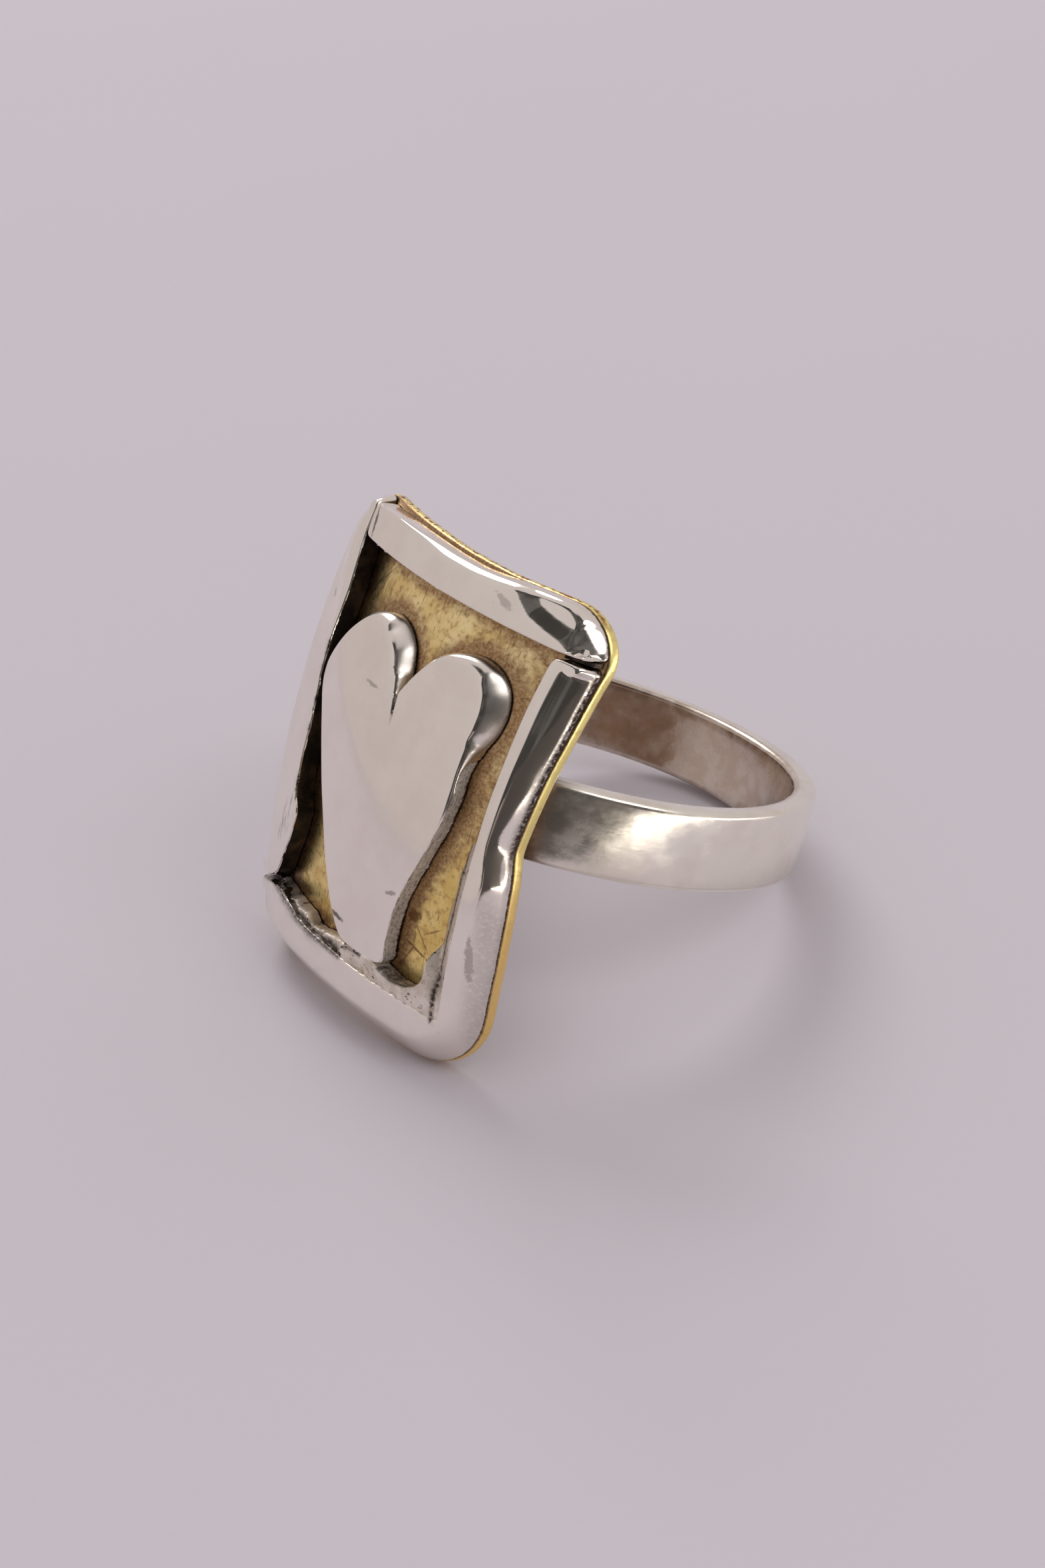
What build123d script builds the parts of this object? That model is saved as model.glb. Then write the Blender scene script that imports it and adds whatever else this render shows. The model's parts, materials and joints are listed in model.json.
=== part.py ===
from build123d import *
from collections import namedtuple
from math import acos, atan2, degrees, hypot, radians, tan
import os

# Millimetres. A bowed back plate of brass carries a border of four flat silver strips and a silver heart,
# and a plain silver shank is soldered behind it. The pieces are made upright, with the finger along Z, and
# then laid down as the ring rests by itself: on the lower edge of its plate and the back of its shank, on
# the plane Z = 0.

# Shank: a plain band of rectangular section
bore_radius = 8.65
shank_thickness = 1.0
shank_width = 3.2
shank_edge_round = 0.1
solder_pad_width = 4.8
solder_pad_depth = 0.9

# Back plate: its corners are shares of half its width and height, because it was cut by hand
plate_width = 14.28
plate_height = 18.25
plate_thickness = 0.53
plate_corner_round = 1.6
bend_radius_across = 20.2
bend_radius_along = 36
Corner = namedtuple("Corner", "across up roundness")
plate_corners = (
    Corner(1.027, 0.981, 1.2),
    Corner(-1.056, 1.035, 1.0),
    Corner(-0.944, -0.984, 1.0),
    Corner(0.957, -1.017, 1.8),
)

# Where the plate sits: the gap is from the shank to the middle of the plate's hollow back
plate_seat_gap = 0.22
plate_shift_across = 1.32
plate_shift_along = -0.53
plate_lean = -0.8

# Border: four strips round the plate's edge, each one running past the end of the next
top_strip_width = 1.65
right_strip_width = 1.2
bottom_strip_width = 2.2
left_strip_width = 1.9
left_strip_bow = 0.62
strip_thickness = 0.81
border_inset = 0.03
border_outer_round = 0.4
border_inner_round = 0.08
window_corner_round = 0.15

# Seams between the strips: the corner of the window that each one starts from, which way it runs, and
# its groove
Seam = namedtuple("Seam", "corner across up width depth")
seam_width = 0.1
seam_depth = 0.14
notch_width = 0.3
notch_depth = 0.5
seams = (
    Seam(0, 1, 0, seam_width, seam_depth),
    Seam(1, 0, 1, seam_width, seam_depth),
    Seam(2, -1, 0, notch_width, notch_depth),
    Seam(3, 0, -1, seam_width, seam_depth),
)

# Solder that ran out along the bottom strip and up beside the right strip
flood_width = 3.6
flood_low_rise = 0.15
flood_belly_width = 1.4
flood_belly_rise = 0.9
flood_rise = 4.6
flood_thickness = 0.4

# Heart: two round lobes, a sawn cleft between them, and flanks down to a toe that is cut off level
left_lobe_radius = 2.45
right_lobe_radius = 2.13
lobe_spacing = 5.0
cleft_depth = 1.6
cleft_radius = 0.06
heart_drop = 9.73
toe_width = 2.63
toe_shift = -0.45
toe_round = 0.5
neck_rise = 2.7
neck_flare = 0.85
neck_round = 3.0
heart_thickness = 0.71
heart_edge_round = 0.2
heart_shift_across = 0.235
heart_shift_up = 3.565
heart_lean = 7.9

# Thickness of the solder between two pieces
solder_gap = 0.04

plate_reach = bore_radius + shank_thickness + plate_seat_gap + plate_thickness
border_top = solder_gap + strip_thickness
heart_top = solder_gap + heart_thickness
overshoot = 2 * (plate_thickness + border_top)
seam_start = 0.2
seam_reach = 2 * left_strip_width
edge_samples = 48
settling_steps = 12

# Sketch plane of the plate: x across it, y along the finger, z outward, with its origin on the plate's
# front face
plate_plane = Plane(
    origin=(plate_reach, plate_shift_across, plate_shift_along),
    x_dir=(0, 1, 0),
    z_dir=(1, 0, 0),
).rotated((0, 0, plate_lean))

# The plate's front face is an arc along its height, turned about an axis that lies behind it
bend_axis_point = plate_plane.from_local_coords(Vector(0, 0, -bend_radius_across))
bend_axis = Axis(bend_axis_point, plate_plane.y_dir)
behind_plane = Plane(origin=bend_axis_point, x_dir=-plate_plane.z_dir, z_dir=plate_plane.x_dir)
arc_centre = bend_radius_across - bend_radius_along
profile_half = 0.75 * plate_height
blank_plane = plate_plane.offset(-bend_radius_across / 2)
blank_depth = bend_radius_across


def layer(low, high):
    """The shell between two heights above the plate's front face, closed all round its bend axis."""
    ends = []
    for height in (low, high):
        radius = bend_radius_along + height
        ends.append(arc_centre + (radius**2 - profile_half**2) ** 0.5)
    with BuildPart() as shell:
        with BuildSketch(behind_plane):
            with BuildLine():
                inner_end = (ends[0], profile_half)
                inner_start = (ends[0], -profile_half)
                outer_end = (ends[1], profile_half)
                outer_start = (ends[1], -profile_half)
                ThreePointArc(inner_start, (bend_radius_across + low, 0), inner_end)
                Line(inner_end, outer_end)
                ThreePointArc(outer_end, (bend_radius_across + high, 0), outer_start)
                Line(outer_start, inner_start)
            make_face()
        revolve(axis=bend_axis)
    return shell.part


def height_above_plate(point):
    """How far a point lies in front of the plate's front face."""
    local = plate_plane.to_local_coords(Vector(point))
    from_axis = hypot(local.X, local.Z + bend_radius_across)
    return hypot(from_axis - arc_centre, local.Y) - bend_radius_along


def corners(left, right, bottom, top):
    """The plate's hand-cut corners, drawn in to strips of these half widths and heights."""
    sides = ((right, top), (left, top), (left, bottom), (right, bottom))
    return [(row.across * half, row.up * rise) for row, (half, rise) in zip(plate_corners, sides)]


def rounded_outline(inset):
    """The plate's outline, drawn in by an inset, with its round corners."""
    half = plate_width / 2 - inset
    rise = plate_height / 2 - inset
    points = corners(half, half, rise, rise)
    radii = [row.roundness * plate_corner_round - inset for row in plate_corners]
    return FilletPolyline(*points, radius=radii, close=True)


window = corners(
    plate_width / 2 - left_strip_width,
    plate_width / 2 - right_strip_width,
    plate_height / 2 - bottom_strip_width,
    plate_height / 2 - top_strip_width,
)


def touch_point(centre, radius, outside, side):
    """Where a line from a point outside a circle touches it, on the side that the sign gives."""
    sight = outside - centre
    swing = side * degrees(acos(radius / sight.length))
    return centre + sight.normalized().rotate(Axis.Z, swing) * radius


def arc_about(centre, start, end, turn):
    """The arc from start to end about a centre, turning left for 1 and right for -1."""
    first = degrees(atan2(start.Y - centre.Y, start.X - centre.X))
    last = degrees(atan2(end.Y - centre.Y, end.X - centre.X))
    sweep = turn * ((turn * (last - first)) % 360)
    return CenterArc(centre, (start - centre).length, first, sweep)


def upper_edges(part, top):
    """Edges of a piece that lie on its front face."""
    return part.edges().filter_by(lambda edge: abs(height_above_plate(edge @ 0.5) - top) < solder_gap / 4)


def around_window(edge, margin):
    """Whether the middle of an edge lies on the window, give or take a margin."""
    local = plate_plane.to_local_coords(edge @ 0.5)
    across = [corner[0] for corner in window]
    up = [corner[1] for corner in window]
    fits_across = min(across) - margin < local.X < max(across) + margin
    return fits_across and min(up) - margin < local.Y < max(up) + margin


plate_layer = layer(-plate_thickness, 0)
border_layer = layer(solder_gap, border_top)
flood_layer = layer(solder_gap, solder_gap + flood_thickness)
groove_layers = [layer(border_top - seam.depth, border_top + overshoot) for seam in seams]
heart_layer = layer(solder_gap, heart_top)
solder_pad_layer = layer(-plate_thickness - solder_gap - solder_pad_depth, -plate_thickness - solder_gap)

# Back plate
with BuildPart() as back_plate_upright:
    with BuildSketch(blank_plane):
        with BuildLine():
            rounded_outline(0)
        make_face()
    extrude(amount=blank_depth)
    add(plate_layer, mode=Mode.INTERSECT)

# Border: the plate's outline less the window, its rim rounded over, and a groove at each seam between
# two strips
with BuildPart() as flood:
    corner = Vector(*window[3])
    flood_end = corner + Vector(-flood_width, 0)
    flood_toe = flood_end + Vector(0, flood_low_rise)
    flood_belly = corner + Vector(-flood_belly_width, flood_belly_rise)
    flood_top = corner + Vector(0, flood_rise)
    overlap = Vector(right_strip_width / 2, -bottom_strip_width / 2)
    with BuildSketch(blank_plane):
        with BuildLine():
            ThreePointArc(flood_toe, flood_belly, flood_top)
            Polyline(
                flood_top,
                flood_top + Vector(overlap.X, 0),
                corner + overlap,
                flood_end + Vector(0, overlap.Y),
                flood_toe,
            )
        make_face()
    extrude(amount=blank_depth)
    add(flood_layer, mode=Mode.INTERSECT)

grooves = []
for seam, groove_layer in zip(seams, groove_layers):
    groove_start = Vector(*window[seam.corner]) - Vector(seam.across, seam.up) * seam_start
    groove_centre = groove_start + Vector(seam.across, seam.up) * (seam_reach / 2)
    with BuildPart() as groove:
        with BuildSketch(blank_plane):
            with Locations(groove_centre):
                Rectangle(
                    seam_reach * abs(seam.across) + seam.width * abs(seam.up),
                    seam_reach * abs(seam.up) + seam.width * abs(seam.across),
                )
        extrude(amount=blank_depth)
        add(groove_layer, mode=Mode.INTERSECT)
    grooves.append(groove.part)

with BuildPart() as border_upright:
    with BuildSketch(blank_plane):
        with BuildLine():
            rounded_outline(border_inset)
        make_face()
        with BuildLine() as window_line:
            bow_point = (Vector(*window[1]) + Vector(*window[2])) * 0.5 + Vector(left_strip_bow, 0)
            Polyline(window[2], window[3], window[0], window[1])
            ThreePointArc(window[1], bow_point, window[2])
        make_face(window_line.edges(), mode=Mode.SUBTRACT)
    extrude(amount=blank_depth)
    add(border_layer, mode=Mode.INTERSECT)
    upright_edges = border_upright.edges().filter_by(Axis(plate_plane.origin, plate_plane.z_dir))
    fillet(upright_edges.filter_by(lambda edge: around_window(edge, border_inset)), window_corner_round)
    front_edges = upper_edges(border_upright, border_top)
    inner_edges = front_edges.filter_by(lambda edge: around_window(edge, left_strip_bow))
    outer_edges = front_edges.filter_by(lambda edge: not around_window(edge, left_strip_bow))
    fillet(outer_edges, border_outer_round)
    fillet(inner_edges, border_inner_round)
    add(flood.part)
    add(grooves, mode=Mode.SUBTRACT)

# Heart, in a plane of its own: its origin lies midway between the centres of the lobes
heart_x = plate_plane.x_dir.rotate(Axis((0, 0, 0), plate_plane.z_dir), heart_lean)
heart_origin = blank_plane.from_local_coords(Vector(heart_shift_across, heart_shift_up, 0))
heart_plane = Plane(origin=heart_origin, x_dir=heart_x, z_dir=plate_plane.z_dir)
left_lobe = Vector(-lobe_spacing / 2, 0)
right_lobe = Vector(lobe_spacing / 2, 0)
toe_tilt = toe_width / 2 * tan(radians(heart_lean))
left_toe = Vector(toe_shift - toe_width / 2, toe_tilt - heart_drop)
right_toe = Vector(toe_shift + toe_width / 2, -toe_tilt - heart_drop)
neck = right_toe + Vector(neck_flare, neck_rise)
cleft = Vector(0, -cleft_depth)
left_touch = touch_point(left_lobe, left_lobe_radius, left_toe, -1)
right_touch = touch_point(right_lobe, right_lobe_radius, neck, 1)
left_mouth = touch_point(left_lobe, left_lobe_radius, cleft, 1)
right_mouth = touch_point(right_lobe, right_lobe_radius, cleft, -1)

with BuildPart() as heart_upright:
    with BuildSketch(heart_plane):
        with BuildLine():
            FilletPolyline(right_mouth, cleft, left_mouth, radius=cleft_radius)
            arc_about(left_lobe, left_mouth, left_touch, 1)
            FilletPolyline(
                left_touch, left_toe, right_toe, neck, right_touch, radius=(toe_round, toe_round, neck_round)
            )
            arc_about(right_lobe, right_touch, right_mouth, 1)
        make_face()
    extrude(amount=blank_depth)
    add(heart_layer, mode=Mode.INTERSECT)
    fillet(upper_edges(heart_upright, heart_top), heart_edge_round)

# Shank: a pad of solder fills the wedges between its front and the hollow back of the plate
with BuildPart() as solder_pad:
    with BuildSketch(blank_plane):
        with Locations((-plate_shift_across, -plate_shift_along)):
            Rectangle(solder_pad_width, shank_width - 2 * shank_edge_round)
    extrude(amount=blank_depth)
    add(solder_pad_layer, mode=Mode.INTERSECT)

with BuildPart() as shank_upright:
    with BuildSketch(Plane.XY.offset(-shank_width / 2)):
        Circle(bore_radius + shank_thickness)
        Circle(bore_radius, mode=Mode.SUBTRACT)
    extrude(amount=shank_width)
    fillet(shank_upright.edges().filter_by(GeomType.CIRCLE), shank_edge_round)
    add(solder_pad.part)


def lowest(points, up):
    return min(points, key=lambda point: point.dot(up))


def resting_plane():
    """The plane under the ring that its shank and both lower corners of its plate touch."""
    samples = [step / edge_samples for step in range(edge_samples + 1)]
    shank_points = [edge @ share for edge in shank_upright.edges() for share in samples]
    plate_points = [edge @ share for edge in back_plate_upright.edges() for share in samples]
    left_points = [point for point in plate_points if point.Y < plate_shift_across]
    right_points = [point for point in plate_points if point.Y > plate_shift_across]
    up = Vector(plate_height / 2, 0, plate_reach + bore_radius).normalized()
    for _ in range(settling_steps):
        heel = lowest(shank_points, up)
        left_foot = lowest(left_points, up)
        right_foot = lowest(right_points, up)
        up = (left_foot - heel).cross(right_foot - heel).normalized()
    return Plane(origin=heel, x_dir=(Vector(0, 1, 0) - up * up.Y).normalized(), z_dir=up)


# Laid down on the plane Z = 0, with the heart towards -Y and the origin under the middle of the ring
floor = resting_plane()
upright_pieces = (shank_upright.part, back_plate_upright.part, border_upright.part, heart_upright.part)
extent = Compound([floor.to_local_coords(piece) for piece in upright_pieces]).bounding_box()
floor_origin = floor.from_local_coords(Vector(extent.center().X, extent.center().Y, extent.min.Z))
to_floor = Plane(origin=floor_origin, x_dir=floor.x_dir, z_dir=floor.z_dir).location.inverse()

with BuildPart() as shank:
    with Locations(to_floor):
        add(shank_upright.part)

with BuildPart() as back_plate:
    with Locations(to_floor):
        add(back_plate_upright.part)

with BuildPart() as border:
    with Locations(to_floor):
        add(border_upright.part)

with BuildPart() as heart:
    with Locations(to_floor):
        add(heart_upright.part)

os.makedirs("parts", exist_ok=True)
shank.part.label = "shank"
export_step(shank.part, "parts/shank.step")
back_plate.part.label = "back_plate"
export_step(back_plate.part, "parts/back_plate.step")
border.part.label = "border"
export_step(border.part, "parts/border.step")
heart.part.label = "heart"
export_step(heart.part, "parts/heart.step")

finger_centre = (to_floor * Location((0, 0, 0))).position
finger_way = (to_floor * Location((0, 0, 1))).position - finger_centre
print("finger axis through", tuple(finger_centre), "along", tuple(finger_way))
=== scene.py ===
import json
from collections import namedtuple
from math import acos, atan2, cos, pi, radians, sin, tan

import bpy
import numpy as np
from mathutils import Matrix, Vector
from mathutils.geometry import delaunay_2d_cdt


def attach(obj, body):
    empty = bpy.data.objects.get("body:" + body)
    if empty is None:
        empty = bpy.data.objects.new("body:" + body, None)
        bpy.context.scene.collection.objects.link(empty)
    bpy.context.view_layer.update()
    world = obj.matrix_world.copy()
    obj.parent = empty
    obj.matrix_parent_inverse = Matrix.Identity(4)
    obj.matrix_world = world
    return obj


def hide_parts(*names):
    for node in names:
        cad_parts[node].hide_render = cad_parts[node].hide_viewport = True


# A hand-made ring: a bowed brass plate with a silver border and a silver heart, on a plain silver band.
# What lies on the plate is laid out in millimetres, x across, y along the finger and h above its front, and
# on_plate() puts it on the bowed plate in the shared frame, in metres.

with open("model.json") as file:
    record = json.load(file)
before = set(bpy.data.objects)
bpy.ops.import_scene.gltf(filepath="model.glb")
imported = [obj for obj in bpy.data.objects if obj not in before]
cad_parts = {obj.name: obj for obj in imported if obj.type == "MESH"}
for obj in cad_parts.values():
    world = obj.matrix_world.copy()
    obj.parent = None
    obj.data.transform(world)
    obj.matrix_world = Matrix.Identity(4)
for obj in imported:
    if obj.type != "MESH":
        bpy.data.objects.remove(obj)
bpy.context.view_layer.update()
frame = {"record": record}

MM = 0.001
IMAGE_WIDTH, IMAGE_HEIGHT = 1568, 2352

# The plate's place on the ring and its bow
PLATE_REACH = 10.4
PLATE_SHIFT_ACROSS = 1.32
PLATE_SHIFT_ALONG = -0.53
PLATE_LEAN = radians(-0.8)
PLATE_THICKNESS = 0.53
BEND_ACROSS = 20.2
BEND_ALONG = 36.0

# Heights above the plate's front; the foot keeps a gap for solder
BORDER_TOP = 0.85
HEART_TOP = 0.75
FOOT = 0.03

mount = next(m for m in frame["record"]["mounts"] if m["name"] == "finger_hole")
ring_centre = Vector(mount["pos_m"])
finger_axis = Vector(mount["axis"]).normalized()
ring_across = Vector((finger_axis.z, 0, -finger_axis.x)).normalized()
ring_outward = ring_across.cross(finger_axis).normalized()
ring_axes = np.array((ring_outward, ring_across, finger_axis))


def from_ring(points):
    """Points in the ring's own axes to the shared frame, in metres."""
    return np.array(ring_centre) + MM * np.asarray(points) @ ring_axes


def plate_depth(x, y, h):
    """How far outward of the plate's middle a point on the bowed plate lies."""
    turn = np.arcsin(np.clip(y / (BEND_ALONG + h), -1, 1))
    rho = BEND_ACROSS - BEND_ALONG + (BEND_ALONG + h) * np.cos(turn)
    return np.sqrt(rho * rho - x * x) - BEND_ACROSS


def on_plate(x, y, h):
    """Points laid out on the plate to the shared frame, in metres."""
    across = PLATE_SHIFT_ACROSS + x * cos(PLATE_LEAN) - y * sin(PLATE_LEAN)
    along = PLATE_SHIFT_ALONG + x * sin(PLATE_LEAN) + y * cos(PLATE_LEAN)
    return from_ring(np.stack((PLATE_REACH + plate_depth(x, y, h), across, along), axis=-1))


# Outlines

FILLET_POINTS = 13
FAR = 1e9
CHUNK = 64


def unit(v):
    return v / np.linalg.norm(v)


def fillet_path(corners):
    """A closed path round the corners, rows of x, y and the radius that rounds them."""
    points = []
    spots = np.array(corners)[:, :2]
    for i, (here, (_, _, radius)) in enumerate(zip(spots, corners)):
        u = unit(spots[i - 1] - here)
        v = unit(spots[(i + 1) % len(spots)] - here)
        half = acos(float(np.clip(u @ v, -1, 1))) / 2
        centre = here + unit(u + v) * radius / sin(half)
        reach = radius / tan(half)
        first, last = here + u * reach - centre, here + v * reach - centre
        start = atan2(first[1], first[0])
        sweep = (atan2(last[1], last[0]) - start + pi) % (2 * pi) - pi
        for t in np.linspace(0, 1, FILLET_POINTS):
            angle = start + sweep * t
            points.append(centre + radius * np.array((cos(angle), sin(angle))))
    return np.array(points)


def spline_path(points, steps=12):
    """A closed smooth path through rows of numbers, in every column."""
    p = np.asarray(points, float)
    before, after, beyond = np.roll(p, 1, 0), np.roll(p, -1, 0), np.roll(p, -2, 0)
    linear = after - before
    square = 2 * before - 5 * p + 4 * after - beyond
    cubic = 3 * p - before - 3 * after + beyond
    rows = [0.5 * (2 * p + linear * t + square * t ** 2 + cubic * t ** 3) for t in np.arange(steps) / steps]
    return np.stack(rows, 1).reshape(-1, p.shape[1])


def resample(path, spacing):
    """The closed path at an even spacing; further columns are carried along."""
    closed = np.vstack((path, path[:1]))
    steps = np.hypot(*(closed[1:, :2] - closed[:-1, :2]).T)
    along = np.concatenate(((0,), np.cumsum(steps)))
    count = max(8, int(along[-1] / spacing))
    at = np.arange(count) * along[-1] / count
    return np.stack([np.interp(at, along, column) for column in closed.T], 1)


def soften(values, width):
    """Closed rows blurred along themselves by a width in samples."""
    reach = int(3 * width) + 1
    offsets = range(-reach, reach + 1)
    weights = np.exp(-0.5 * (np.array(offsets) / width) ** 2)
    return sum(w * np.roll(values, k, 0) for k, w in zip(offsets, weights / weights.sum()))


def inward(path):
    """Unit normals into a path that runs anticlockwise."""
    tangent = np.roll(path, -1, 0) - np.roll(path, 1, 0)
    tangent /= np.maximum(np.hypot(*tangent.T), 1e-9)[:, None]
    return np.stack((-tangent[:, 1], tangent[:, 0]), 1)


def inside(points, loop):
    """Which points lie inside the closed loop."""
    found = np.zeros(len(points), bool)
    for (x0, y0), (x1, y1) in zip(loop, np.roll(loop, -1, 0)):
        if y1 != y0:
            crosses = (points[:, 1] > y0) != (points[:, 1] > y1)
            at = x0 + (points[:, 1] - y0) * (x1 - x0) / (y1 - y0)
            found ^= crosses & (points[:, 0] < at)
    return found


def distance_to(points, loop):
    """Distance from each point to the nearest sample of a loop."""
    nearest = np.full(len(points), FAR)
    for start in range(0, len(loop), CHUNK):
        part = loop[start : start + CHUNK]
        gap = np.hypot(points[:, None, 0] - part[None, :, 0], points[:, None, 1] - part[None, :, 1])
        nearest = np.minimum(nearest, gap.min(1))
    return nearest


def segment_distance(x, y, line):
    """Distance from points to a line of straight segments."""
    nearest = np.full(np.shape(x), FAR)
    for (x0, y0), (x1, y1) in zip(line, line[1:]):
        dx, dy = x1 - x0, y1 - y0
        t = np.clip(((x - x0) * dx + (y - y0) * dy) / (dx * dx + dy * dy), 0, 1)
        nearest = np.minimum(nearest, np.hypot(x - x0 - t * dx, y - y0 - t * dy))
    return nearest


def step(value, low, high):
    """Rises smoothly from 0 at low to 1 at high."""
    t = np.clip((value - low) / (high - low), 0, 1)
    return t * t * (3 - 2 * t)


def beside(x, y, line, near, far):
    """1 along a line on the plate, fading to 0 between two distances from it."""
    return 1 - step(segment_distance(x, y, line), near, far)


def from_table(value, table):
    """What a table of pairs gives for each value."""
    return np.interp(value, *np.array(table).T)


def completed(rows, *usual):
    """Rows of four numbers, with the usual last ones where a row leaves them out."""
    return [(*row, *usual[len(usual) - 4 + len(row) :]) for row in rows]


def always(number):
    """A function that gives the same number at every place."""
    return lambda x, y, share=0: np.full_like(x, number)


# Noise

OCTAVE_SEED = 13


def lattice(ix, iy, seed):
    """A number from 0 to 1 for each whole place."""
    value = np.sin(ix * 127.1 + iy * 311.7 + seed * 74.7) * 43758.5453
    return value - np.floor(value)


def noise(x, y, seed=0):
    """Smooth noise from -1 to 1."""
    ix, iy = np.floor(x), np.floor(y)
    fx, fy = x - ix, y - iy
    fx, fy = fx * fx * (3 - 2 * fx), fy * fy * (3 - 2 * fy)
    low = lattice(ix, iy, seed) * (1 - fx) + lattice(ix + 1, iy, seed) * fx
    high = lattice(ix, iy + 1, seed) * (1 - fx) + lattice(ix + 1, iy + 1, seed) * fx
    return 2 * (low * (1 - fy) + high * fy) - 1


def rough(x, y, scale, seed=0, octaves=3):
    """Noise with finer noise on it; scale is the size of its largest lumps."""
    sizes = [2 ** k for k in range(octaves)]
    seeds = range(seed, seed + OCTAVE_SEED * octaves, OCTAVE_SEED)
    return sum(noise(x / scale * size, y / scale * size, s) / size for size, s in zip(sizes, seeds))


# Slabs on the plate

# Rows of faces up a slab's wall and over its rounded edge, and the least that they measure
WALL_ROWS, EDGE_ROWS = 5, 10
LEAST_WALL = 0.05
LEAST_EDGE = 0.03

# Between these depths a rounded edge turns into a filed slope
SLOPED_FROM, SLOPED_TO = 0.5, 0.6

# Grid points keep these shares of their spacing from the outline and from a finer grid
OUTLINE_GAP, GRID_GAP = 0.62, 0.6

# Points this near are one, and triangles this small are too thin to tell by their middle
SAME_POINT = 1e-7
THIN = 1e-5

# Places in a piece's list of materials
SILVER, SAWN, OXIDE_AND_SHADE, MELTED = range(4)
BRASS = 0
BASE = 0


def grid_inside(ring, grids):
    """Points of staggered grids inside a ring; each grid is a box and a spacing, the finest first."""
    inner = np.zeros((0, 2))
    for x0, y0, x1, y1, pitch in grids:
        xs, ys = np.arange(x0, x1, pitch), np.arange(y0, y1, pitch)
        px, py = np.meshgrid(xs, ys)
        px = px + np.where(np.arange(len(ys)) % 2, pitch / 2, 0)[:, None]
        spots = np.stack((px.ravel(), py.ravel()), 1)
        spots = spots[inside(spots, ring)]
        spots = spots[distance_to(spots, ring) > OUTLINE_GAP * pitch]
        if len(inner) and len(spots):
            spots = spots[distance_to(spots, inner) > GRID_GAP * pitch]
        inner = np.vstack((inner, spots))
    return inner


def reached_from_outside(faces, fences):
    """Which triangles can be reached from outside without crossing a fence, the two corners of an edge."""
    beside_edge = {}
    sides = [[frozenset((face[k], face[k - 1])) for k in range(3)] for face in faces]
    for number, edges in enumerate(sides):
        for edge in edges:
            beside_edge.setdefault(edge, []).append(number)
    reached = np.zeros(len(faces), bool)
    waiting = [found[0] for edge, found in beside_edge.items() if len(found) == 1 and edge not in fences]
    while waiting:
        number = waiting.pop()
        if not reached[number]:
            reached[number] = True
            for edge in sides[number]:
                if edge not in fences:
                    waiting += beside_edge[edge]
    return reached


def triangles_inside(ring, inner):
    """Triangles over a ring and the points in it: the corners' places, their sources, and the faces."""
    count = len(ring)
    loop = [(i, (i + 1) % count) for i in range(count)]
    points = [Vector(p) for p in np.vstack((ring, inner))]
    verts, edges, faces, origins, edge_origins, _ = delaunay_2d_cdt(points, loop, [], 0, SAME_POINT, True)
    spots = np.array([tuple(v) for v in verts])
    corners = np.array([tuple(face) for face in faces])
    fences = {frozenset(edge) for edge, origin in zip(edges, edge_origins) if origin}
    p, q, r = spots[corners].transpose(1, 2, 0)
    area = 0.5 * np.abs((q[0] - p[0]) * (r[1] - p[1]) - (q[1] - p[1]) * (r[0] - p[0]))
    middle_in = inside(spots[corners].mean(1), ring)
    kept = ~reached_from_outside(faces, fences) & (middle_in | (area < THIN))
    return spots, origins, corners[kept]


class Builder:
    """Collects vertices laid out on the plate, and faces with a material number each."""

    def __init__(self):
        self.points = []
        self.faces = []
        self.kinds = []

    def add_points(self, x, y, h):
        start = len(self.points)
        x, y, h = np.broadcast_arrays(x, y, h)
        self.points += list(zip(x.tolist(), y.tolist(), h.tolist()))
        return start

    def add_face(self, corners, kind):
        self.faces.append(tuple(int(c) for c in corners))
        self.kinds.append(int(kind))

    def band(self, low, high, count, kinds):
        """Faces between two closed rows of points, given by their first points."""
        kinds = np.broadcast_to(kinds, count)
        for i in range(count):
            j = (i + 1) % count
            self.add_face((low + i, low + j, high + j, high + i), kinds[i])

    def fill(self, ring, start, spacing, height, kind, up=True, fine=()):
        """Triangles over a grid inside a ring of points already added."""
        low, high = ring.min(0), ring.max(0)
        inner = grid_inside(ring, (*fine, (*low, *high, spacing)))
        spots, origins, faces = triangles_inside(ring, inner)
        inner_start = self.add_points(*inner.T, height(*inner.T))
        where = []
        for k, origin in enumerate(origins):
            if not origin:
                x, y = spots[k : k + 1].T
                where.append(self.add_points(x, y, height(x, y)))
            elif origin[0] < len(ring):
                where.append(start + origin[0])
            else:
                where.append(inner_start + origin[0] - len(ring))
        for face in faces:
            self.add_face([where[c] for c in (face if up else face[::-1])], kind)

    def object(self, name, materials, label, value, smooth_angle=38):
        """The finished piece; value gives the attribute called label at x, y and h."""
        places = np.array(self.points)
        spots = on_plate(*places.T)
        spots[:, 2] = np.maximum(spots[:, 2], 0)
        mesh = bpy.data.meshes.new(name)
        mesh.from_pydata([Vector(v) for v in spots], [], self.faces)
        mesh.polygons.foreach_set("material_index", self.kinds)
        add_attribute(mesh, "plate", places)
        add_attribute(mesh, label, value(*places.T))
        return finished(name, mesh, materials, smooth_angle)


def add_attribute(mesh, name, values):
    """A number, or a place where there are three columns, for each vertex."""
    kind, field = ("FLOAT", "value") if values.ndim == 1 else ("FLOAT_VECTOR", "vector")
    layer = mesh.attributes.new(name, kind, "POINT")
    layer.data.foreach_set(field, values.astype(np.float32).ravel())


def add_object(name, data):
    new = bpy.data.objects.new(name, data)
    bpy.context.scene.collection.objects.link(new)
    return new


def finished(name, mesh, materials, smooth_angle):
    """The mesh as an object with its materials, smooth but for edges over an angle."""
    for material in materials:
        mesh.materials.append(material)
    mesh.shade_smooth()
    mesh.set_sharp_from_angle(angle=radians(smooth_angle))
    mesh.update()
    return add_object(name, mesh)


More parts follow.
